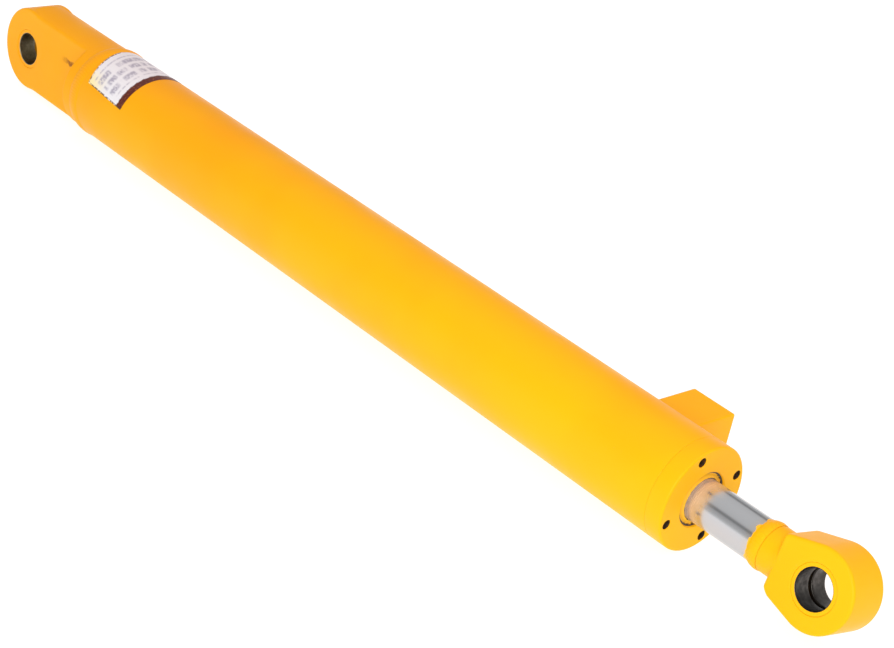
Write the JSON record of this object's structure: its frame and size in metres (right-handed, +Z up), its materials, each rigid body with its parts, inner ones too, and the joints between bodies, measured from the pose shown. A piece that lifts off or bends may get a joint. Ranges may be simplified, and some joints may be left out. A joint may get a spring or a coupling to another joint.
{
  "type": "hydraulic cylinder",
  "caption": "Double-acting welded hydraulic cylinder with plain eyes at both ends, a chromed rod, a screwed gland and a side port block near the gland.",
  "frame": {"origin": "centre of the base-eye pin bore", "axes": "+X along the cylinder to the rod end, +Y along the base pin, pointing to the side that carries the ports, +Z up"},
  "size_m": [1.2405, 0.1529, 0.1018],
  "materials": {
    "yellow_paint": "satin yellow machinery enamel over steel",
    "hard_chrome": "polished hard chrome",
    "bush_steel": "hardened steel, phosphated and greased",
    "machined_steel": "turned steel",
    "black_screw": "black oxide",
    "nipple_brass": "yellow passivated",
    "black_rubber": "nitrile rubber",
    "blue_polyurethane": "cast polyurethane",
    "green_seal": "filled fluoropolymer",
    "white_backup": "plain polymer",
    "guide_phenolic": "fabric-filled phenolic",
    "printed_label": "satin printed film"
  },
  "bodies": {
    "barrel": {"barrel_tube": "yellow_paint", "base_eye_forging": "yellow_paint", "base_weld": "yellow_paint", "base_bush_near": "bush_steel", "base_bush_far": "bush_steel", "base_grease_nipple": "nipple_brass", "rod_port_block": "yellow_paint", "rod_port_weld": "yellow_paint", "base_port_boss": "yellow_paint", "base_port_weld": "yellow_paint", "gland": "yellow_paint", "gland_o_ring": "black_rubber", "gland_backup_ring": "white_backup", "front_guide_ring": "guide_phenolic", "rear_guide_ring": "guide_phenolic", "rod_seal": "blue_polyurethane", "buffer_seal": "green_seal", "wiper": "black_rubber", "label": "printed_label"},
    "piston_rings": {"piston_seal": "green_seal", "seal_energizer": "black_rubber", "rear_wear_ring": "guide_phenolic", "front_wear_ring": "guide_phenolic"},
    "rod": {"piston_rod": "hard_chrome", "rod_eye": "yellow_paint", "rod_eye_weld": "yellow_paint", "rod_bush_near": "bush_steel", "rod_bush_far": "bush_steel", "rod_grease_nipple": "nipple_brass", "piston": "machined_steel", "piston_bore_ring": "black_rubber", "piston_nut": "machined_steel", "nut_lock_screw": "black_screw"}
  },
  "joints": [
    {"name": "rod_slide", "type": "slide", "parent": "barrel", "child": "piston_rings", "axis": [1, 0, 0], "range_m": [0, 0.7]},
    {"name": "rod_spin", "type": "hinge", "parent": "piston_rings", "child": "rod", "pos_m": [0.2, 0, 0], "axis": [1, 0, 0], "continuous": true}
  ]
}
